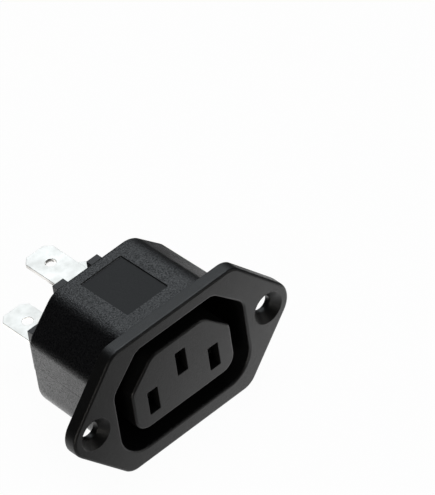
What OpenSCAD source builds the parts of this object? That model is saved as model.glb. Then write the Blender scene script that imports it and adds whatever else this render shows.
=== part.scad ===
// Panel-mounted power outlet with three slots, for an appliance plug.
// Origin: middle of the flange's rear face, which lies on the panel.
// +X to the right seen from the front, +Y towards the rear, +Z up.

/* [Flange] */
// Overall height of the flange
flange_h = 28; // [26.5:0.5:32]
// Thickness of the flange in front of the panel
flange_t = 2.6; // [1.8:0.1:3.6]
// Radius of the flange's four corners
flange_corner_r = 3.6; // [2:0.1:5]
// Distance from the middle to the centre of each corner radius
flange_corner_x = 12.4; // [11:0.1:15]
// Radius of the two pointed ends, round the screw holes
flange_tip_r = 4.75; // [4:0.05:6]
// Distance between the two screw holes
hole_pitch = 40; // [38:0.5:44]
// Diameter of the screw holes
hole_d = 3.4; // [2.8:0.1:3.8]
// Diameter of the countersink at the front face
sink_d = 6.2; // [5:0.1:7]
// Broken edge round the flange, the recess's mouth and the block's face
front_edge = 0.4; // [0.2:0.05:0.6]

/* [Body] */
// Width of the sleeve behind the flange
body_w = 31.8; // [31:0.1:34]
// Height from the slots' datum line to the top of the sleeve
body_top = 12.5; // [12.2:0.1:13]
// Height from the datum line down to the bottom of the sleeve
body_bottom = 11.85; // [11.6:0.05:12.8]
// Length of the sleeve behind the flange
body_depth = 18.5; // [17:0.5:24]
// Size of the 45 degree chamfer on the two upper corners
body_chamfer = 6.7; // [5.5:0.1:8]
// Draft of the sleeve's outer faces, in degrees
draft_angle = 0.8; // [0.2:0.1:1]

/* [Recess] */
// Width of the recess that takes the plug's shroud
recess_w = 29.7; // [29:0.1:29.9]
// Height from the datum line to the top of the recess
recess_top = 11.1; // [10.8:0.1:11.3]
// Height from the datum line down to the bottom of the recess
recess_bottom = 10.7; // [10.4:0.1:10.8]
// Depth of the recess from the front face
recess_depth = 17.5; // [16:0.5:18]
// Size of the recess's 45 degree chamfer
recess_chamfer = 6.1; // [5:0.1:7]

/* [Centre block] */
// Width of the centre block
block_w = 22.8; // [22:0.1:23.4]
// Height from the datum line to the top of the block
block_top = 7.9; // [7.6:0.1:8.2]
// Height from the datum line down to the bottom of the block
block_bottom = 6.9; // [6.7:0.1:7.4]
// Size of the block's 45 degree chamfer
block_chamfer = 5.4; // [4:0.1:6]
// Thickness of the block's front wall, where the slots are
block_front_t = 1.8; // [1.2:0.1:2.5]

/* [Slots and chambers] */
// Width of each slot
slot_w = 2.3; // [2.2:0.1:2.8]
// Height of each slot
slot_h = 5; // [4.4:0.1:5.4]
// Distance between the line and neutral slots
pole_pitch = 14; // [13.8:0.1:14.2]
// Height of the line and neutral slots' centre below the datum line
pole_drop = 1.8; // [1.6:0.1:2]
// Height of the earth slot above the other two
earth_rise = 4; // [3.8:0.1:4.2]
// Width of each contact chamber
chamber_w = 4.8; // [4.6:0.1:5]

/* [Terminals] */
// Width of the flat connecting tab
tab_w = 6.3; // [4.8:0.1:6.3]
// Thickness of the sheet
sheet_t = 0.8; // [0.6:0.1:0.8]
// Distance from the body's rear face to the tab's tip
tab_len = 15.9; // [12:0.1:18]
// Diameter of the hole in the tab
tab_hole_d = 2; // [1.6:0.1:2.2]
// Distance from the tab's tip to the hole's centre
tab_hole_back = 4.2; // [3.6:0.1:5]
// Height of the line and neutral tabs' middle below the datum line
pole_tab_drop = 3.85; // [3.8:0.05:3.9]
// Height of the earth tab's middle above the datum line
earth_tab_z = 4.95; // [4.9:0.05:5]
// Gap between the contact's springs where they grip the blade
grip_gap = 1.6; // [1.4:0.1:1.9]
// Distance from the contact's mouth back to where its springs grip the blade
grip_back = 3.2; // [2.5:0.1:4]
// Length of the contact's stiff root, behind its free springs
root_len = 6.1; // [4:0.1:7]

/* [Carrier] */
// Depth of the carrier behind the body
carrier_depth = 5.05; // [4.5:0.05:7]
// Overall width of the carrier
carrier_w = 24; // [23:0.1:26]
// Height of the top of the carrier's two side boxes
side_top = 2; // [1.8:0.1:2.4]
// Bottom of the carrier, below the datum line
carrier_bottom = 7.2; // [6.8:0.1:7.6]
// Width of the carrier's middle tower
tower_w = 10.4; // [9.6:0.1:11]
// Height of the top of the tower's two posts
tower_top = 7.65; // [7.2:0.05:8.2]
// Thickness of the carrier's front web, against the body
web_t = 1.5; // [1.3:0.1:1.9]

/* [Marking recess] */
// Width of the shallow recess in the top face
mark_w = 9.4; // [8:0.1:12]
// Length of the shallow recess
mark_len = 12.1; // [8:0.1:13]
// Distance from the flange to the shallow recess
mark_start = 3.9; // [3:0.1:5]
// Depth of the shallow recess
mark_depth = 0.25; // [0.1:0.05:0.4]

/* [Hidden] */
$fn = 72;
cut = 0.5; // how far a cutting shape reaches past the face it opens
lap = 0.2; // how far two shapes of one piece reach into each other

// Corner radii of the three outlines: top, chamfer's lower end, bottom
body_r = [4.7, 3.3, 6.5];
recess_r = [2.7, 2.9, 5.6];
block_r = [3, 2, 3];

front_y = -flange_t;
floor_y = front_y + recess_depth;
rear_y = body_depth;
chamber_y = front_y + block_front_t;

pole_z = -pole_drop;
earth_z = pole_z + earth_rise;
pole_tab_z = -pole_tab_drop;

// The plug's blade, and the room left round the folded contact
blade_h = 4;
strip_gap = 0.4;
pole_strip_z = pole_z - blade_h / 2 - strip_gap - sheet_t / 2;
chamber_gap = 0.2;
chamber_spare = 0.7;

// Folded spring contact
contact_w = chamber_w - 2 * chamber_gap;
leaf_t = 0.4;
leaf_h = blade_h + strip_gap;
leaf_lift = 0.3; // free gap between each spring and the base strip
mouth_gap = 1; // from the chamber's front wall to the contact's mouth
neck_len = 3.2; // from the contact's root to the body's rear face
mouth_y = chamber_y + mouth_gap;
grip_y = mouth_y + grip_back;
contact_end_y = rear_y - neck_len;
root_y = contact_end_y - root_len;
mouth_flare = 0.55;
tongue_gap = 1; // from the contact's mouth to its tongue
neck_lead = 0.6; // flat start of the neck, before it steps
leaf_steps = 14;
tongue_w = 2.4;

// Shoulder of each tab, caught between the body and the carrier
shoulder_w = tab_w + 0.7;
shoulder_len = 0.7;
tab_fit = 0.05;

carrier_y = rear_y + carrier_depth;
web_y = rear_y + web_t;
pocket_outer_x = 9.4;
pocket_top = 0.9;
tower_gap_w = 5.4;
earth_pocket_bottom = -0.3;
web_top = 6.5;
boss_d = 4.8;
boss_hole_d = 2.5;
boss_hole_depth = 4.2;
boss_height = 0.6;
boss_z = -3.7;

// ---- outlines ----

function unit(v) = v / norm(v);

// Centre of the circle that rounds corner i of a convex list of [x, z, r] corners
function round_centre(c, i) =
    let (n = len(c),
         here = [c[i][0], c[i][1]],
         back = unit([c[(i + n - 1) % n][0], c[(i + n - 1) % n][1]] - here),
         ahead = unit([c[(i + 1) % n][0], c[(i + 1) % n][1]] - here),
         half = acos(back * ahead) / 2)
    here + unit(back + ahead) * c[i][2] / sin(half);

// Outward normal of the line that touches circles a and b, going anticlockwise
function touch_normal(a, b) =
    let (d = [b[0] - a[0], b[1] - a[1]],
         turn = atan2(d[1], d[0]) - acos((a[2] - b[2]) / norm(d)))
    [cos(turn), sin(turn)];

// Area wrapped round a convex list of [x, z, r] circles, with true arcs
module wrapped(circles) {
    n = len(circles);
    polygon([for (i = [0:n - 1], end = [0, 1])
        let (a = circles[i], b = circles[(i + 1) % n], on = end == 0 ? a : b)
        [on[0], on[1]] + on[2] * touch_normal(a, b)]);
    for (c = circles)
        translate([c[0], c[1]]) circle(r = c[2]);
}

// Circles that round the sharp corners of an outline, given anticlockwise as [x, z, r]
function rounding(corners) =
    [for (i = [0:len(corners) - 1])
        let (m = round_centre(corners, i)) [m[0], m[1], corners[i][2]]];

// The family outline of body, recess and block: a rectangle with two upper corners cut at 45 degrees
function keyed(w, top, bottom, chamfer, r) =
    let (x = w / 2)
    rounding([
        [-x, -bottom, r[2]],
        [x, -bottom, r[2]],
        [x, top - chamfer, r[1]],
        [x - chamfer, top, r[0]],
        [chamfer - x, top, r[0]],
        [-x, top - chamfer, r[1]],
    ]);

flange_z = flange_h / 2 - flange_corner_r;
flange_outline = [
    [hole_pitch / 2, 0, flange_tip_r],
    [flange_corner_x, flange_z, flange_corner_r],
    [-flange_corner_x, flange_z, flange_corner_r],
    [-hole_pitch / 2, 0, flange_tip_r],
    [-flange_corner_x, -flange_z, flange_corner_r],
    [flange_corner_x, -flange_z, flange_corner_r],
];
body_outline = keyed(body_w, body_top, body_bottom, body_chamfer, body_r);
recess_outline = keyed(recess_w, recess_top, recess_bottom, recess_chamfer, recess_r);
block_outline = keyed(block_w, block_top, block_bottom, block_chamfer, block_r);

// Straight prism of an outline, from y back to y + depth
module prism(outline, y, depth) {
    translate([0, y, 0]) rotate([90, 0, 0]) mirror([0, 0, 1])
        linear_extrude(height = depth) wrapped(outline);
}

// Prism whose outline moves inwards by start at y, and by end at y + depth
module tapered(outline, y, depth, start, end) {
    hull() for (c = outline)
        translate([c[0], y, c[1]]) rotate([-90, 0, 0])
            cylinder(h = depth, r1 = c[2] - start, r2 = c[2] - end, $fn = 32);
}

// ---- housing ----

module screw_hole() {
    sink_depth = (sink_d - hole_d) / 2;
    rotate([90, 0, 0]) translate([0, 0, -cut]) cylinder(h = flange_t + 2 * cut, d = hole_d);
    translate([0, front_y + sink_depth, 0]) rotate([90, 0, 0])
        cylinder(h = sink_depth + cut, d1 = hole_d, d2 = sink_d + 2 * cut);
}

// Slot in the block's front wall, and the chamber behind it
module contact_way(x, slot_z, bottom, top) {
    translate([x - slot_w / 2, front_y - cut, slot_z - slot_h / 2])
        cube([slot_w, block_front_t + 2 * cut, slot_h]);
    translate([x - chamber_w / 2, chamber_y, bottom])
        cube([chamber_w, rear_y - chamber_y + cut, top - bottom]);
}

module marking_recess() {
    translate([-mark_w / 2, 0, body_top])
        rotate([-draft_angle, 0, 0])
            translate([0, mark_start, -mark_depth]) cube([mark_w, mark_len, mark_depth + cut]);
}

// Sleeve behind the flange, narrowing towards the rear by the draft
module sleeve() {
    narrowing = tan(draft_angle);
    tapered(body_outline, -cut, cut + body_depth, -cut * narrowing, body_depth * narrowing);
}

module flange() {
    prism(flange_outline, front_y + front_edge, flange_t - front_edge);
    tapered(flange_outline, front_y, front_edge, front_edge, 0);
}

module centre_block() {
    prism(block_outline, front_y + front_edge, recess_depth);
    tapered(block_outline, front_y, front_edge, front_edge, 0);
}

module recess() {
    difference() {
        union() {
            prism(recess_outline, front_y - cut, recess_depth + cut);
            tapered(recess_outline, front_y - cut, front_edge + cut, -front_edge - cut, 0);
        }
        centre_block();
    }
}

module housing() color([0.16, 0.16, 0.17]) {
    difference() {
        union() {
            flange();
            sleeve();
        }
        recess();
        for (side = [-1, 1]) {
            translate([side * hole_pitch / 2, 0, 0]) screw_hole();
            contact_way(side * pole_pitch / 2, pole_z,
                pole_strip_z - sheet_t / 2 - chamber_gap, pole_z + blade_h / 2 + chamber_spare);
        }
        contact_way(0, earth_z,
            earth_z - blade_h / 2 - chamber_spare, earth_tab_z + sheet_t / 2 + chamber_gap);
        marking_recess();
    }
}

// ---- terminals ----

// Half of the gap between the springs at y, from the mouth back to the root
function leaf_x(y) =
    y < grip_y
        ? grip_gap / 2 + mouth_flare * pow((grip_y - y) / (grip_y - mouth_y), 2)
        : grip_gap / 2 + (contact_w / 2 - leaf_t - grip_gap / 2)
            * (1 - cos(180 * (y - grip_y) / (root_y - grip_y))) / 2;

// One spring, free from the mouth to the root
module leaf() {
    ys = [for (i = [0:leaf_steps]) mouth_y + (root_y - mouth_y) * i / leaf_steps];
    root_x = contact_w / 2 - leaf_t;
    linear_extrude(height = leaf_h - leaf_lift) polygon(concat(
        [for (y = ys) [leaf_x(y), y]],
        [[root_x, root_y + lap], [root_x + leaf_t, root_y + lap]],
        [for (i = [leaf_steps:-1:0]) [leaf_x(ys[i]) + leaf_t, ys[i]]]));
}

// Contact folded from the sheet: base strip on z = 0 with its underside down, springs upwards
module spring_contact() {
    half = contact_w / 2;
    translate([-half, root_y, -sheet_t / 2])
        cube([contact_w, contact_end_y - root_y, sheet_t]);
    for (side = [0, 1]) mirror([side, 0, 0]) {
        translate([0, 0, sheet_t / 2 + leaf_lift]) leaf();
        translate([half - leaf_t, root_y, 0])
            cube([leaf_t, contact_end_y - root_y, sheet_t / 2 + leaf_h]);
    }
    translate([-tongue_w / 2, mouth_y + tongue_gap, -sheet_t / 2])
        cube([tongue_w, root_y - mouth_y, sheet_t]);
}

// Tab behind the shoulder, seen from above: pointed end, hole and shoulder
module tab_plan() {
    half = tab_w / 2;
    tip = rear_y + tab_len;
    nose = 1.2;
    difference() {
        union() {
            polygon([[-half, rear_y], [half, rear_y], [half, tip - nose], [half - nose, tip],
                [nose - half, tip], [-half, tip - nose]]);
            translate([-shoulder_w / 2, rear_y]) square([shoulder_w, shoulder_len]);
        }
        translate([0, tip - tab_hole_back]) circle(d = tab_hole_d);
    }
}

// Terminal with its tab at tab_z and its base strip at strip_z; the neck steps between them
module terminal(tab_z, strip_z) {
    step_y = contact_end_y + neck_lead;
    half_t = sheet_t / 2;
    translate([0, 0, tab_z - half_t]) linear_extrude(height = sheet_t) tab_plan();
    translate([0, 0, strip_z]) spring_contact();
    rise = tab_z - strip_z;
    translate([contact_w / 2, 0, 0]) rotate([0, -90, 0]) linear_extrude(height = contact_w) polygon([
        [strip_z - half_t, contact_end_y - lap],
        [strip_z - half_t, step_y],
        [tab_z - half_t, step_y + abs(rise)],
        [tab_z - half_t, rear_y + lap],
        [tab_z + half_t, rear_y + lap],
        [tab_z + half_t, step_y + abs(rise)],
        [strip_z + half_t, step_y],
        [strip_z + half_t, contact_end_y - lap],
    ]);
}

module line_terminal() color([0.85, 0.85, 0.83])
    translate([pole_pitch / 2, 0, 0]) terminal(pole_tab_z, pole_strip_z);

module neutral_terminal() color([0.85, 0.85, 0.83])
    translate([-pole_pitch / 2, 0, 0]) terminal(pole_tab_z, pole_strip_z);

module earth_terminal() color([0.85, 0.85, 0.83])
    rotate([0, 180, 0]) terminal(-earth_tab_z, -earth_tab_z);

// ---- terminal carrier ----

// Way through the carrier for one tab, with the pocket that takes its shoulder
module tab_way(x, z) {
    w = tab_w + 2 * tab_fit;
    translate([x - w / 2, rear_y - cut, z - sheet_t / 2])
        cube([w, carrier_depth + 2 * cut, sheet_t]);
    translate([x - shoulder_w / 2 - tab_fit, rear_y - cut, z - sheet_t / 2])
        cube([shoulder_w + 2 * tab_fit, shoulder_len + cut, sheet_t]);
}

module terminal_carrier() color([0.13, 0.13, 0.14]) {
    deep = carrier_y - web_y;
    difference() {
        union() {
            translate([-carrier_w / 2, rear_y, -carrier_bottom])
                cube([carrier_w, carrier_depth, carrier_bottom + side_top]);
            translate([-tower_w / 2, rear_y, -carrier_bottom])
                cube([tower_w, web_t, carrier_bottom + web_top]);
            translate([-tower_w / 2, web_y, -carrier_bottom])
                cube([tower_w, deep, carrier_bottom + tower_top]);
            translate([0, carrier_y, boss_z]) rotate([-90, 0, 0])
                cylinder(h = boss_height, d = boss_d);
        }
        for (side = [0, 1]) mirror([side, 0, 0])
            translate([tower_w / 2, web_y, -carrier_bottom - cut])
                cube([pocket_outer_x - tower_w / 2, deep + cut, carrier_bottom + cut + pocket_top]);
        translate([-tower_gap_w / 2, web_y, earth_pocket_bottom])
            cube([tower_gap_w, deep + cut, tower_top - earth_pocket_bottom + cut]);
        translate([0, carrier_y + boss_height - boss_hole_depth, boss_z]) rotate([-90, 0, 0])
            cylinder(h = boss_hole_depth + cut, d = boss_hole_d);
        for (side = [-1, 1]) tab_way(side * pole_pitch / 2, pole_tab_z);
        tab_way(0, earth_tab_z);
    }
}

housing();
terminal_carrier();
line_terminal();
neutral_terminal();
earth_terminal();
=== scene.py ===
import math

import bmesh
import bpy
from mathutils import Matrix, Vector


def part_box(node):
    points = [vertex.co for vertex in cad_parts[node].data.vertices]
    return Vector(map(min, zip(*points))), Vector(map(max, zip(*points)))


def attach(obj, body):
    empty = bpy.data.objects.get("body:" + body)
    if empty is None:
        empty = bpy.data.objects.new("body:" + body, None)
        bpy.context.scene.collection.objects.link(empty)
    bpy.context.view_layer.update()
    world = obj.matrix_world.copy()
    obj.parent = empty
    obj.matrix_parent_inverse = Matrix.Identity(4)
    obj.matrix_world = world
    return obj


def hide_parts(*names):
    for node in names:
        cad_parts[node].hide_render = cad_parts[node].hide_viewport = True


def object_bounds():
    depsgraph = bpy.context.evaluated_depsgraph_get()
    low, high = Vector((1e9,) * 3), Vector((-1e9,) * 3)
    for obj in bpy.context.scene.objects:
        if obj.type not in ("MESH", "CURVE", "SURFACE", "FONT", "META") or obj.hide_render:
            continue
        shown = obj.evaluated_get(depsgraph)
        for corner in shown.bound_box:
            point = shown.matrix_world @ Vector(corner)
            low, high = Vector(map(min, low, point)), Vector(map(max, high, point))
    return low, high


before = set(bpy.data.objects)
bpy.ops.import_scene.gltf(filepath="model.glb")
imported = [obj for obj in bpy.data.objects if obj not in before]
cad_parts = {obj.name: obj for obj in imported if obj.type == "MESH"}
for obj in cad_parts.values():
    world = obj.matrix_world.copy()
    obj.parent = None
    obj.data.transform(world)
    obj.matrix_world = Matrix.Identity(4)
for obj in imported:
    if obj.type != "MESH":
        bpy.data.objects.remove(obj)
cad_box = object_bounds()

MM = 0.001

# ---- Camera ----
# A long lens about 0.9 m away, in front of the outlet, to its left and well above it.
# It is rolled a little, so that the outlet leans to the left in the picture.

view_turn = math.radians(37.1)
view_rise = math.radians(42.45)
view_roll = math.radians(8.9)
view_distance = 891 * MM
aim_point = Vector((15.9, 3.5, 13.5)) * MM

towards_camera = Vector((
    -math.sin(view_turn) * math.cos(view_rise),
    -math.cos(view_turn) * math.cos(view_rise),
    math.sin(view_rise),
))
camera_data = bpy.data.cameras.new("camera")
camera_data.sensor_fit = "HORIZONTAL"
camera_data.sensor_width = 36
camera_data.lens = 435
camera_data.clip_start = 0.01
camera = bpy.data.objects.new("camera", camera_data)
camera.location = aim_point + towards_camera * view_distance
upright = towards_camera.to_track_quat("Z", "Y").to_matrix()
camera.rotation_euler = (upright @ Matrix.Rotation(-view_roll, 3, "Z")).to_euler()
bpy.context.scene.collection.objects.link(camera)
bpy.context.scene.camera = camera
bpy.context.scene.view_settings.view_transform = "Standard"

# ---- Floor, backdrop and light ----
# White paper under the flange's lower edge, white all round to the camera, and large soft lamps.
# In reflections only the paper close by, with painted light on it, and one soft window behind are bright;
# the rest is dark.


def seen_directly(tree):
    """1 for what the camera sees straight, in a reflection or through glass, otherwise 0."""
    path = tree.nodes.new("ShaderNodeLightPath")
    camera_or_gloss = tree.nodes.new("ShaderNodeMath")
    camera_or_gloss.operation = "MAXIMUM"
    tree.links.new(path.outputs["Is Camera Ray"], camera_or_gloss.inputs[0])
    tree.links.new(path.outputs["Is Glossy Ray"], camera_or_gloss.inputs[1])
    any_view = tree.nodes.new("ShaderNodeMath")
    any_view.operation = "MAXIMUM"
    tree.links.new(camera_or_gloss.outputs[0], any_view.inputs[0])
    tree.links.new(path.outputs["Is Transmission Ray"], any_view.inputs[1])
    return any_view.outputs[0]


def make_surround():
    """White to the camera; in reflections dark above the horizon, with one soft window behind."""
    ambient = 0.30
    horizon = (-0.05, 0.05)
    window = Vector((0.445, 0.589, 0.675)).normalized()
    window_edge = (math.radians(34), math.radians(20))
    window_strength = 1.15
    window_tint = (0.90, 0.96, 1.0, 1)
    world = bpy.data.worlds.new("surround")
    bpy.context.scene.world = world
    world.use_nodes = True
    tree = world.node_tree
    nodes, links = tree.nodes, tree.links
    background = nodes["Background"]
    place = nodes.new("ShaderNodeTexCoord")
    height = nodes.new("ShaderNodeSeparateXYZ")
    links.new(place.outputs["Generated"], height.inputs[0])
    low = nodes.new("ShaderNodeMapRange")
    low.interpolation_type = "SMOOTHSTEP"
    low.inputs["From Min"].default_value = horizon[0]
    low.inputs["From Max"].default_value = horizon[1]
    low.inputs["To Min"].default_value = 1
    low.inputs["To Max"].default_value = 0
    links.new(height.outputs["Z"], low.inputs["Value"])
    facing = nodes.new("ShaderNodeVectorMath")
    facing.operation = "DOT_PRODUCT"
    facing.inputs[1].default_value = window
    links.new(place.outputs["Generated"], facing.inputs[0])
    glow = nodes.new("ShaderNodeMapRange")
    glow.interpolation_type = "SMOOTHSTEP"
    glow.inputs["From Min"].default_value = math.cos(window_edge[0])
    glow.inputs["From Max"].default_value = math.cos(window_edge[1])
    glow.inputs["To Min"].default_value = 0
    glow.inputs["To Max"].default_value = window_strength
    links.new(facing.outputs["Value"], glow.inputs["Value"])
    studio = nodes.new("ShaderNodeMath")
    studio.operation = "MAXIMUM"
    links.new(low.outputs["Result"], studio.inputs[0])
    links.new(glow.outputs["Result"], studio.inputs[1])
    path = nodes.new("ShaderNodeLightPath")
    gloss = nodes.new("ShaderNodeMath")
    gloss.operation = "MAXIMUM"
    links.new(path.outputs["Is Glossy Ray"], gloss.inputs[0])
    links.new(path.outputs["Is Transmission Ray"], gloss.inputs[1])
    soft = nodes.new("ShaderNodeMix")
    soft.inputs["A"].default_value = ambient
    links.new(gloss.outputs[0], soft.inputs["Factor"])
    links.new(studio.outputs[0], soft.inputs["B"])
    seen = nodes.new("ShaderNodeMath")
    seen.operation = "MAXIMUM"
    links.new(path.outputs["Is Camera Ray"], seen.inputs[0])
    links.new(soft.outputs["Result"], seen.inputs[1])
    links.new(seen.outputs[0], background.inputs["Strength"])
    tint = nodes.new("ShaderNodeMix")
    tint.data_type = "RGBA"
    tint.inputs["A"].default_value = (1, 1, 1, 1)
    tint.inputs["B"].default_value = window_tint
    links.new(gloss.outputs[0], tint.inputs["Factor"])
    links.new(tint.outputs["Result"], background.inputs["Color"])


def painted_paper_light(tree):
    """1 where it is seen directly; in reflections a painted light, brighter towards the back right and
    fading outwards.
    """
    # Painted light and shade: in reflections the paper's glow runs from dim at the front left to bright
    # at the back right.
    painted_light_from = Vector((0.568, 0.824, 0)).normalized()
    painted_light_span = (-25 * MM, 12 * MM)
    painted_light_tones = (0.2, 1.6)
    fade_span = (38 * MM, 70 * MM)
    far_tone = 0.02
    nodes, links = tree.nodes, tree.links
    place = nodes.new("ShaderNodeTexCoord")
    along = nodes.new("ShaderNodeVectorMath")
    along.operation = "DOT_PRODUCT"
    along.inputs[1].default_value = painted_light_from
    links.new(place.outputs["Object"], along.inputs[0])
    lit = nodes.new("ShaderNodeMapRange")
    lit.inputs["From Min"].default_value = painted_light_span[0]
    lit.inputs["From Max"].default_value = painted_light_span[1]
    lit.inputs["To Min"].default_value = painted_light_tones[0]
    lit.inputs["To Max"].default_value = painted_light_tones[1]
    links.new(along.outputs["Value"], lit.inputs["Value"])
    away = nodes.new("ShaderNodeVectorMath")
    away.operation = "LENGTH"
    links.new(place.outputs["Object"], away.inputs[0])
    near = nodes.new("ShaderNodeMapRange")
    near.interpolation_type = "SMOOTHSTEP"
    near.inputs["From Min"].default_value = fade_span[0]
    near.inputs["From Max"].default_value = fade_span[1]
    near.inputs["To Min"].default_value = 1
    near.inputs["To Max"].default_value = far_tone
    links.new(away.outputs["Value"], near.inputs["Value"])
    mirrored = nodes.new("ShaderNodeMath")
    mirrored.operation = "MULTIPLY"
    links.new(lit.outputs["Result"], mirrored.inputs[0])
    links.new(near.outputs["Result"], mirrored.inputs[1])
    path = nodes.new("ShaderNodeLightPath")
    tone = nodes.new("ShaderNodeMix")
    tone.inputs["A"].default_value = 1
    links.new(path.outputs["Is Glossy Ray"], tone.inputs["Factor"])
    links.new(mirrored.outputs[0], tone.inputs["B"])
    return tone.outputs["Result"]


def make_floor():
    half_width = 3
    paper = (0.86, 0.86, 0.85, 1)
    glow_share = 0.97
    bpy.ops.mesh.primitive_grid_add(x_subdivisions=2, y_subdivisions=2, size=2 * half_width)
    floor = bpy.context.object
    floor.name = "floor"
    floor.location.z = cad_box[0][2]
    material = bpy.data.materials.new("white_floor")
    material.use_nodes = True
    tree = material.node_tree
    paint = tree.nodes["Principled BSDF"]
    paint.inputs["Base Color"].default_value = paper
    paint.inputs["Roughness"].default_value = 0.9
    paint.inputs["Specular IOR Level"].default_value = 0
    glow = tree.nodes.new("ShaderNodeEmission")
    tree.links.new(painted_paper_light(tree), glow.inputs["Strength"])
    share = tree.nodes.new("ShaderNodeMath")
    share.operation = "MULTIPLY"
    share.inputs[1].default_value = glow_share
    tree.links.new(seen_directly(tree), share.inputs[0])
    mix = tree.nodes.new("ShaderNodeMixShader")
    tree.links.new(share.outputs[0], mix.inputs[0])
    tree.links.new(paint.outputs[0], mix.inputs[1])
    tree.links.new(glow.outputs[0], mix.inputs[2])
    tree.links.new(mix.outputs[0], tree.nodes["Material Output"].inputs["Surface"])
    floor.data.materials.append(material)


def make_lamp(name, place, aim, size, power, color):
    data = bpy.data.lights.new(name, "AREA")
    data.shape = "DISK"
    data.size = size
    data.energy = power
    data.color = color
    lamp = bpy.data.objects.new(name, data)
    lamp.location = place
    lamp.rotation_euler = (Vector(place) - Vector(aim)).to_track_quat("Z", "Y").to_euler()
    lamp.visible_camera = False
    bpy.context.scene.collection.objects.link(lamp)


make_surround()
make_floor()
make_lamp("side_lamp", (-0.62, -0.30, 0.02), (0, 0, 0), 0.25, 1.5, (1.0, 0.96, 0.90))
make_lamp("front_lamp", (0.45, -0.50, 0.10), (0, 0, 0), 0.30, 0.5, (1.0, 0.98, 0.95))
make_lamp("top_lamp", (0.20, 0.10, 0.80), (0, 0, 0), 0.4, 2.5, (0.90, 0.95, 1.0))

# ---- Housing ----
# One black thermoplastic moulding: flange, sleeve, recess, and centre block with its chambers.
# The tool's outer cavity is spark eroded, its front faces are finer, and all edges are broken.

arc_steps = 12
edge_steps = 4


def wrapped_arcs(circles):
    """Arcs (centre, radius, first and last angle) of a band round [x, z, r] circles, anticlockwise."""
    arcs = []
    count = len(circles)
    leaving = []
    for i, (x, z, r) in enumerate(circles):
        next_x, next_z, next_r = circles[(i + 1) % count]
        run = Vector((next_x - x, next_z - z))
        leaving.append(math.atan2(run.y, run.x) - math.acos((r - next_r) / run.length))
    for i, (x, z, r) in enumerate(circles):
        first = leaving[i - 1]
        last = leaving[i]
        while last < first:
            last += 2 * math.pi
        arcs.append((Vector((x, z)), r, first, last))
    return arcs


def cornered_arcs(corners):
    """The same for a convex outline given by its sharp corners and their radii."""
    circles = []
    for i, (x, z, r) in enumerate(corners):
        here = Vector((x, z))
        back = (Vector(corners[i - 1][:2]) - here).normalized()
        ahead = (Vector(corners[(i + 1) % len(corners)][:2]) - here).normalized()
        half = back.angle(ahead) / 2
        middle = here + (back + ahead).normalized() * r / math.sin(half)
        circles.append((middle.x, middle.y, r))
    return wrapped_arcs(circles)


def keyed_arcs(width, top, bottom, chamfer, radii):
    """A rectangle with its two upper corners cut at 45 degrees; radii are top, side and bottom."""
    side = width / 2
    return cornered_arcs([
        (-side, -bottom, radii[2]),
        (side, -bottom, radii[2]),
        (side, top - chamfer, radii[1]),
        (side - chamfer, top, radii[0]),
        (chamfer - side, top, radii[0]),
        (-side, top - chamfer, radii[1]),
    ])


def box_arcs(middle_x, width, bottom, top, radius):
    low = middle_x - width / 2
    high = middle_x + width / 2
    return cornered_arcs([
        (low, bottom, radius), (high, bottom, radius), (high, top, radius), (low, top, radius),
    ])


def ring(bm, arcs, y, inset=0.0, steps=arc_steps):
    """Vertices round an outline at depth y, moved inwards by inset."""
    points = []
    for middle, radius, first, last in arcs:
        for k in range(steps + 1):
            angle = first + (last - first) * k / steps
            reach = radius - inset
            points.append((middle.x + reach * math.cos(angle), y, middle.y + reach * math.sin(angle)))
    return [bm.verts.new(point) for point in points]


def bridge(bm, one, other, skip=()):
    count = len(one)
    for i in range(count):
        if i not in skip:
            j = (i + 1) % count
            bm.faces.new((one[i], one[j], other[j], other[i]))


def loft(bm, rings, skip=()):
    for one, other in zip(rings, rings[1:]):
        bridge(bm, one, other, skip)


def fill(bm, loops, normal):
    """Flat face with holes: the first loop is the outline, the others are the holes."""
    edges = []
    for loop in loops:
        for i, vert in enumerate(loop):
            after = loop[(i + 1) % len(loop)]
            edges.append(bm.edges.get((vert, after)) or bm.edges.new((vert, after)))
    bmesh.ops.triangle_fill(bm, use_beauty=True, use_dissolve=False, edges=edges, normal=normal)


def round_over(radius, steps=edge_steps):
    """(inset, depth) pairs of a quarter round, from the face to the wall."""
    pairs = []
    for k in range(steps + 1):
        angle = math.pi / 2 * k / steps
        pairs.append((radius * (1 - math.sin(angle)), radius * (1 - math.cos(angle))))
    return pairs


# Sizes in millimetres; the housing's front and rear come from the frame
housing_low, housing_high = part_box("housing")
front = housing_low[1] / MM
rear = housing_high[1] / MM
flange_back_y = 0
hole_x = 20
screw_hole_r = 1.7
sink_r = 3.1
flange_tip_r = 4.75
flange_corner_x = 12.4
flange_corner_z = 10.4
flange_corner_r = 3.6
flange_arcs = wrapped_arcs([
    (hole_x, 0, flange_tip_r),
    (flange_corner_x, flange_corner_z, flange_corner_r),
    (-flange_corner_x, flange_corner_z, flange_corner_r),
    (-hole_x, 0, flange_tip_r),
    (-flange_corner_x, -flange_corner_z, flange_corner_r),
    (flange_corner_x, -flange_corner_z, flange_corner_r),
])
body_top = 12.5
body_draft = math.tan(math.radians(0.8))
body_arcs = keyed_arcs(width=31.8, top=body_top, bottom=11.85, chamfer=6.7, radii=(4.7, 3.3, 6.5))
recess_arcs = keyed_arcs(width=29.7, top=11.1, bottom=10.7, chamfer=6.1, radii=(2.7, 2.9, 5.6))
block_arcs = keyed_arcs(width=22.8, top=7.9, bottom=6.9, chamfer=5.4, radii=(3, 2, 3))
recess_depth = 17.5
block_wall = 1.8
slot_width = 2.3
slot_height = 5
slot_corner = 0.15
slot_middles = ((-7, -1.8), (0, 2.2), (7, -1.8))
chamber_width = 4.8
chamber_corner = 0.3
pole_chamber = (-5.2, 0.9)
earth_chamber = (-0.5, 5.55)
mark_half = 4.7
mark_from = 3.9
mark_to = 16
mark_corner = 0.25

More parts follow.
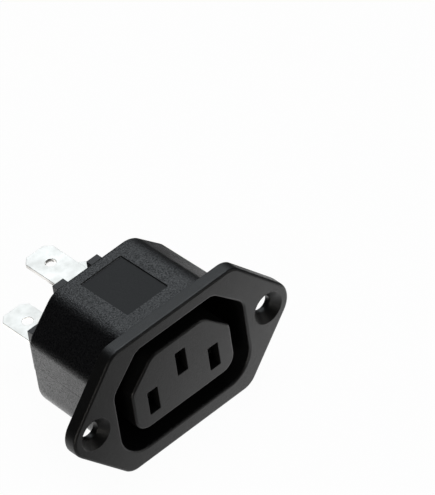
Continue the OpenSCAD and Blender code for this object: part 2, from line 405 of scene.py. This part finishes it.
# Radii of the broken edges and of the rounded roots
front_edge = 0.5
back_edge = 0.15
rim_edge = 0.45
block_edge = 0.45
slot_edge = 0.12
rear_edge = 0.7
sleeve_root = 0.3
root_round = 0.5

# Finishes of the moulding, in the order of its material slots
eroded, smooth, satin = range(3)


def flange_edge(bm):
    """Edge of the flange with its rounds. Gives its outlines on the front and on the rear face."""
    rings = [ring(bm, flange_arcs, front + depth, inset) for inset, depth in round_over(front_edge)]
    for inset, depth in reversed(round_over(back_edge)):
        rings.append(ring(bm, flange_arcs, flange_back_y - depth, inset))
    loft(bm, rings)
    return rings[0], rings[-1]


def body_inset(y):
    """How far the draft has brought the sleeve's wall inwards at depth y."""
    return y * body_draft


def sleeve(bm):
    """Root fillet, drafted wall and rear edge. Gives the rings, and the corners of the open flat top.

    The flat top lies behind the fourth of the outline's arcs, and its face is made with the recess in it.
    """
    rings = []
    for inset, depth in round_over(sleeve_root):
        y = flange_back_y + depth
        rings.append(ring(bm, body_arcs, y, body_inset(y) - inset))
    for inset, depth in reversed(round_over(rear_edge)):
        y = rear - depth
        rings.append(ring(bm, body_arcs, y, body_inset(y) + inset))
    near, far = rings[edge_steps], rings[edge_steps + 1]
    arc_end = 4 * (arc_steps + 1) - 1
    loft(bm, rings[:edge_steps + 1])
    bridge(bm, near, far, skip=(arc_end,))
    loft(bm, rings[edge_steps + 1:])
    return rings, [near[arc_end], near[arc_end + 1], far[arc_end + 1], far[arc_end]]


def marking_recess(bm, flat_top):
    """Shallow bare recess in the sleeve's flat top. Gives its rim."""
    corner_steps = 4
    sinks_and_insets = ((0, 0), (0.06, 0.02), (0.19, 0.08), (0.25, 0.16))
    loops = []
    for sink, inset in sinks_and_insets:
        right = mark_half - inset - mark_corner
        low = mark_from + inset + mark_corner
        high = mark_to - inset - mark_corner
        loop = []
        for middle_x, middle_y, turn in ((right, low, -90), (right, high, 0),
                                         (-right, high, 90), (-right, low, 180)):
            for k in range(corner_steps + 1):
                angle = math.radians(turn + 90 * k / corner_steps)
                x = middle_x + mark_corner * math.cos(angle)
                y = middle_y + mark_corner * math.sin(angle)
                loop.append(bm.verts.new((x, y, body_top - body_inset(y) - sink)))
        loops.append(loop)
    loft(bm, loops)
    fill(bm, [flat_top, loops[0]], Vector((0, body_draft, 1)).normalized())
    bm.faces.new(loops[-1]).material_index = smooth
    return loops[0]


def plug_recess(bm):
    """Rim, walls and floor of the recess, and the block standing in it. Gives both front outlines."""
    floor = front + recess_depth
    rim_rings = [ring(bm, recess_arcs, front + depth, -inset) for inset, depth in round_over(rim_edge)]
    for inset, depth in reversed(round_over(root_round)):
        rim_rings.append(ring(bm, recess_arcs, floor - depth, inset))
    loft(bm, rim_rings)
    block_rings = [ring(bm, block_arcs, front + depth, inset) for inset, depth in round_over(block_edge)]
    for inset, depth in reversed(round_over(root_round)):
        block_rings.append(ring(bm, block_arcs, floor - depth, -inset))
    loft(bm, block_rings)
    bridge(bm, rim_rings[-1], block_rings[-1])
    return rim_rings[0], block_rings[0]


def contact_slots(bm):
    """Slots with the chambers behind them. Gives the slots' mouths and the chambers' rear ends."""
    corner_steps = 4
    rim_steps = 2
    chamber_y = front + block_wall
    mouths = []
    ends = []
    for x, z in slot_middles:
        low, high = earth_chamber if x == 0 else pole_chamber
        slot = box_arcs(x, slot_width, z - slot_height / 2, z + slot_height / 2, slot_corner)
        chamber = box_arcs(x, chamber_width, low, high, chamber_corner)
        rings = [ring(bm, slot, front + depth, -inset, corner_steps)
                 for inset, depth in round_over(slot_edge, rim_steps)]
        rings.append(ring(bm, slot, chamber_y, 0, corner_steps))
        rings.append(ring(bm, chamber, chamber_y, 0, corner_steps))
        rings.append(ring(bm, chamber, rear, 0, corner_steps))
        loft(bm, rings)
        mouths.append(rings[0])
        ends.append(rings[-1])
    return mouths, ends


def screw_holes(bm):
    """Two holes, countersunk at 45 degrees from the front. Gives their front and their rear ends."""
    turn_steps = 48
    sink_edge = 0.06
    sink_end = 0.05
    sink_floor = front + sink_r - screw_hole_r
    profile = (
        (sink_r + 2 * sink_edge, front),
        (sink_r, front + sink_edge),
        (screw_hole_r + sink_end, sink_floor - sink_end),
        (screw_hole_r, sink_floor + 2 * sink_end),
        (screw_hole_r, flange_back_y),
    )
    angles = [2 * math.pi * k / turn_steps for k in range(turn_steps)]
    mouths = []
    ends = []
    for x in (-hole_x, hole_x):
        rings = []
        for radius, y in profile:
            rings.append([bm.verts.new((x + radius * math.cos(angle), y, radius * math.sin(angle)))
                          for angle in angles])
        loft(bm, rings)
        mouths.append(rings[0])
        ends.append(rings[-1])
    return mouths, ends


def build_housing():
    bm = bmesh.new()
    flange_front, flange_rear = flange_edge(bm)
    sleeve_rings, flat_top = sleeve(bm)
    mark_rim = marking_recess(bm, flat_top)
    recess_mouth, block_outline = plug_recess(bm)
    slot_mouths, chamber_ends = contact_slots(bm)
    sink_mouths, hole_ends = screw_holes(bm)

    # Flat faces: front of the flange, front of the block, back of the flange, back of the sleeve
    forward = Vector((0, -1, 0))
    fill(bm, [flange_front, recess_mouth] + sink_mouths, forward)
    fill(bm, [block_outline] + slot_mouths, forward)
    fill(bm, [flange_rear, sleeve_rings[0]] + hole_ends, -forward)
    fill(bm, [sleeve_rings[-1]] + chamber_ends, -forward)

    # The sleeve's outside is eroded; the flange and all the inside come off a finer tool
    outside = {vert for sleeve_ring in sleeve_rings for vert in sleeve_ring} | set(mark_rim)
    for face in bm.faces:
        if face.material_index == eroded and not all(vert in outside for vert in face.verts):
            face.material_index = satin
    bmesh.ops.scale(bm, vec=(MM, MM, MM), verts=bm.verts)
    bmesh.ops.recalc_face_normals(bm, faces=bm.faces)
    return bm


def finish_mesh(bm, name, materials, sharp_turn=math.radians(35)):
    """Makes an object of bm: shaded smooth, with creases at sharp turns and round flat faces.

    Flat faces are filled with triangles and curves are quads, so a change of kind is a crease.
    """
    for face in bm.faces:
        face.smooth = True
    for edge in bm.edges:
        flat_border = len({len(face.verts) == 3 for face in edge.link_faces}) == 2
        edge.smooth = edge.calc_face_angle(0) < sharp_turn and not flat_border
    mesh = bpy.data.meshes.new(name)
    bm.to_mesh(mesh)
    bm.free()
    for material in materials:
        mesh.materials.append(material)
    piece = bpy.data.objects.new(name, mesh)
    bpy.context.scene.collection.objects.link(piece)
    return piece


def even_shading(piece, keep_creases):
    even = piece.modifiers.new("even_shading", "WEIGHTED_NORMAL")
    even.keep_sharp = keep_creases


def moulded_grain():
    """Shader group: fine spark-eroded grain. Depth is the bump's distance in metres."""
    octaves = 3
    octave_share = 0.6
    flow_per_metre = 180
    flow_octaves = 2
    gloss_change = 0.06
    tone_span = (0.3, 0.7)
    group = bpy.data.node_groups.new("moulded_grain", "ShaderNodeTree")
    sockets = group.interface
    sockets.new_socket("Grains per metre", in_out="INPUT", socket_type="NodeSocketFloat")
    sockets.new_socket("Depth", in_out="INPUT", socket_type="NodeSocketFloat")
    sockets.new_socket("Roughness", in_out="INPUT", socket_type="NodeSocketFloat")
    sockets.new_socket("Normal", in_out="OUTPUT", socket_type="NodeSocketVector")
    sockets.new_socket("Roughness", in_out="OUTPUT", socket_type="NodeSocketFloat")
    sockets.new_socket("Tone", in_out="OUTPUT", socket_type="NodeSocketFloat")
    nodes, links = group.nodes, group.links
    given = nodes.new("NodeGroupInput")
    result = nodes.new("NodeGroupOutput")
    place = nodes.new("ShaderNodeTexCoord")
    grain = nodes.new("ShaderNodeTexNoise")
    grain.inputs["Detail"].default_value = octaves
    grain.inputs["Roughness"].default_value = octave_share
    links.new(place.outputs["Object"], grain.inputs["Vector"])
    links.new(given.outputs["Grains per metre"], grain.inputs["Scale"])
    bump = nodes.new("ShaderNodeBump")
    bump.inputs["Strength"].default_value = 1
    links.new(given.outputs["Depth"], bump.inputs["Distance"])
    links.new(grain.outputs["Fac"], bump.inputs["Height"])
    flow = nodes.new("ShaderNodeTexNoise")
    flow.inputs["Scale"].default_value = flow_per_metre
    flow.inputs["Detail"].default_value = flow_octaves
    links.new(place.outputs["Object"], flow.inputs["Vector"])
    spread = nodes.new("ShaderNodeMapRange")
    spread.inputs["To Min"].default_value = -gloss_change
    spread.inputs["To Max"].default_value = gloss_change
    links.new(flow.outputs["Fac"], spread.inputs["Value"])
    rough = nodes.new("ShaderNodeMath")
    rough.operation = "ADD"
    links.new(given.outputs["Roughness"], rough.inputs[0])
    links.new(spread.outputs["Result"], rough.inputs[1])
    tone = nodes.new("ShaderNodeMapRange")
    tone.inputs["From Min"].default_value = tone_span[0]
    tone.inputs["From Max"].default_value = tone_span[1]
    links.new(grain.outputs["Fac"], tone.inputs["Value"])
    links.new(bump.outputs["Normal"], result.inputs["Normal"])
    links.new(rough.outputs[0], result.inputs["Roughness"])
    links.new(tone.outputs["Result"], result.inputs["Tone"])
    return group


grain_group = moulded_grain()


def parting_line(tree, normal):
    """Fine raised witness line round the middle of the moulding, where the tool's halves met."""
    half_width = 0.1 * MM
    crest_half_width = half_width / 3
    height = 0.12 * MM
    place = tree.nodes.new("ShaderNodeTexCoord")
    split = tree.nodes.new("ShaderNodeSeparateXYZ")
    tree.links.new(place.outputs["Object"], split.inputs[0])
    away = tree.nodes.new("ShaderNodeMath")
    away.operation = "ABSOLUTE"
    tree.links.new(split.outputs["Z"], away.inputs[0])
    edge = tree.nodes.new("ShaderNodeMapRange")
    edge.inputs["From Min"].default_value = crest_half_width
    edge.inputs["From Max"].default_value = half_width
    edge.inputs["To Min"].default_value = 1
    edge.inputs["To Max"].default_value = 0
    tree.links.new(away.outputs[0], edge.inputs["Value"])
    bump = tree.nodes.new("ShaderNodeBump")
    bump.inputs["Strength"].default_value = 1
    bump.inputs["Distance"].default_value = height
    tree.links.new(edge.outputs["Result"], bump.inputs["Height"])
    tree.links.new(normal, bump.inputs["Normal"])
    return bump.outputs["Normal"]


def black_plastic(name, color, light_color, grains_per_metre, depth, roughness, specular,
                  speckle=0.1, parted=False):
    """Black moulded finish; speckle is how much the grains differ in reflection."""
    material = bpy.data.materials.new(name)
    material.use_nodes = True
    tree = material.node_tree
    shader = tree.nodes["Principled BSDF"]
    grain = tree.nodes.new("ShaderNodeGroup")
    grain.node_tree = grain_group
    grain.inputs["Grains per metre"].default_value = grains_per_metre
    grain.inputs["Depth"].default_value = depth
    grain.inputs["Roughness"].default_value = roughness
    tint = tree.nodes.new("ShaderNodeMix")
    tint.data_type = "RGBA"
    tint.inputs["A"].default_value = (*color, 1)
    tint.inputs["B"].default_value = (*light_color, 1)
    tree.links.new(grain.outputs["Tone"], tint.inputs["Factor"])
    tree.links.new(tint.outputs["Result"], shader.inputs["Base Color"])
    tree.links.new(grain.outputs["Roughness"], shader.inputs["Roughness"])
    normal = grain.outputs["Normal"]
    if parted:
        normal = parting_line(tree, normal)
    tree.links.new(normal, shader.inputs["Normal"])
    glints = tree.nodes.new("ShaderNodeMapRange")
    glints.inputs["To Min"].default_value = specular * (1 - speckle)
    glints.inputs["To Max"].default_value = specular * (1 + speckle)
    tree.links.new(grain.outputs["Tone"], glints.inputs["Value"])
    tree.links.new(glints.outputs["Result"], shader.inputs["Specular IOR Level"])
    return material


eroded_black = black_plastic(
    "eroded_black", (0.0025, 0.0025, 0.003), (0.005, 0.005, 0.0055),
    grains_per_metre=3600, depth=0.09 * MM, roughness=0.34, specular=0.5, speckle=0.85, parted=True)
smooth_black = black_plastic(
    "smooth_black", (0.003, 0.003, 0.0035), (0.004, 0.004, 0.0045),
    grains_per_metre=5000, depth=0.01 * MM, roughness=0.30, specular=0.22)
satin_black = black_plastic(
    "satin_black", (0.003, 0.003, 0.003), (0.006, 0.006, 0.006),
    grains_per_metre=5200, depth=0.04 * MM, roughness=0.36, specular=0.42)
housing = finish_mesh(build_housing(), "housing_moulding", [eroded_black, smooth_black, satin_black])
even_shading(housing, keep_creases=True)
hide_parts("housing")
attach(housing, "root")

# ---- Terminal carrier ----
# A second black moulding behind the sleeve, which closes the chambers and holds the tabs.
# It is plain and boxy, with small broken edges.


def edged_copy(node, name, materials, edge):
    """A merged copy of a node's mesh with its edges broken by a small round."""
    merge_gap = 0.002 * MM
    flat_turn = math.radians(1)
    sharp_turn = math.radians(30)
    edge_turn = math.radians(40)
    bm = bmesh.new()
    bm.from_mesh(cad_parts[node].data)
    bmesh.ops.remove_doubles(bm, verts=bm.verts, dist=merge_gap)
    bmesh.ops.dissolve_limit(bm, angle_limit=flat_turn, verts=bm.verts, edges=bm.edges)
    piece = finish_mesh(bm, name, materials, sharp_turn)
    broken = piece.modifiers.new("broken_edges", "BEVEL")
    broken.width = edge
    broken.segments = 3
    broken.limit_method = "ANGLE"
    broken.angle_limit = edge_turn
    even_shading(piece, keep_creases=False)
    return piece


carrier_black = black_plastic(
    "carrier_black", (0.006, 0.006, 0.0065), (0.010, 0.010, 0.0105),
    grains_per_metre=5000, depth=0.02 * MM, roughness=0.4, specular=0.5)
carrier = edged_copy("terminal_carrier", "terminal_insert", [carrier_black], edge=0.15 * MM)
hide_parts("terminal_carrier")
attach(carrier, "root")

# ---- Terminals ----
# Three stamped and folded brass sheets, tin plated: a flat tab behind, a spring contact in front.
# The plating is bright, with faint rolling lines along the tab and a few dull patches.


def tin_plate():
    bright = (0.94, 0.92, 0.885, 1)
    dull = (0.76, 0.745, 0.71, 1)
    patch_span = (0.35, 0.65)
    patches_per_metre = 420
    lines_per_metre = 3500
    line_stretch = 0.06
    line_depth = 0.004 * MM
    roughness_span = (0.22, 0.42)
    material = bpy.data.materials.new("tin_plate")
    material.use_nodes = True
    tree = material.node_tree
    nodes, links = tree.nodes, tree.links
    shader = nodes["Principled BSDF"]
    shader.inputs["Metallic"].default_value = 1
    place = nodes.new("ShaderNodeTexCoord")
    along = nodes.new("ShaderNodeMapping")
    along.inputs["Scale"].default_value = (1, line_stretch, 1)
    links.new(place.outputs["Object"], along.inputs["Vector"])
    lines = nodes.new("ShaderNodeTexNoise")
    lines.inputs["Scale"].default_value = lines_per_metre
    lines.inputs["Detail"].default_value = 3
    links.new(along.outputs["Vector"], lines.inputs["Vector"])
    patches = nodes.new("ShaderNodeTexNoise")
    patches.inputs["Scale"].default_value = patches_per_metre
    patches.inputs["Detail"].default_value = 5
    links.new(place.outputs["Object"], patches.inputs["Vector"])
    tone = nodes.new("ShaderNodeValToRGB")
    for stop, position, color in zip(tone.color_ramp.elements, patch_span, (dull, bright)):
        stop.position = position
        stop.color = color
    links.new(patches.outputs["Fac"], tone.inputs["Fac"])
    links.new(tone.outputs["Color"], shader.inputs["Base Color"])
    rough = nodes.new("ShaderNodeMapRange")
    rough.inputs["To Min"].default_value = roughness_span[0]
    rough.inputs["To Max"].default_value = roughness_span[1]
    links.new(patches.outputs["Fac"], rough.inputs["Value"])
    links.new(rough.outputs["Result"], shader.inputs["Roughness"])
    bump = nodes.new("ShaderNodeBump")
    bump.inputs["Strength"].default_value = 1
    bump.inputs["Distance"].default_value = line_depth
    links.new(lines.outputs["Fac"], bump.inputs["Height"])
    links.new(bump.outputs["Normal"], shader.inputs["Normal"])
    return material


plating = tin_plate()
for pole in ("line", "neutral", "earth"):
    terminal = edged_copy(pole + "_terminal", pole + "_contact", [plating], edge=0.07 * MM)
    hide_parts(pole + "_terminal")
    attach(terminal, "root")
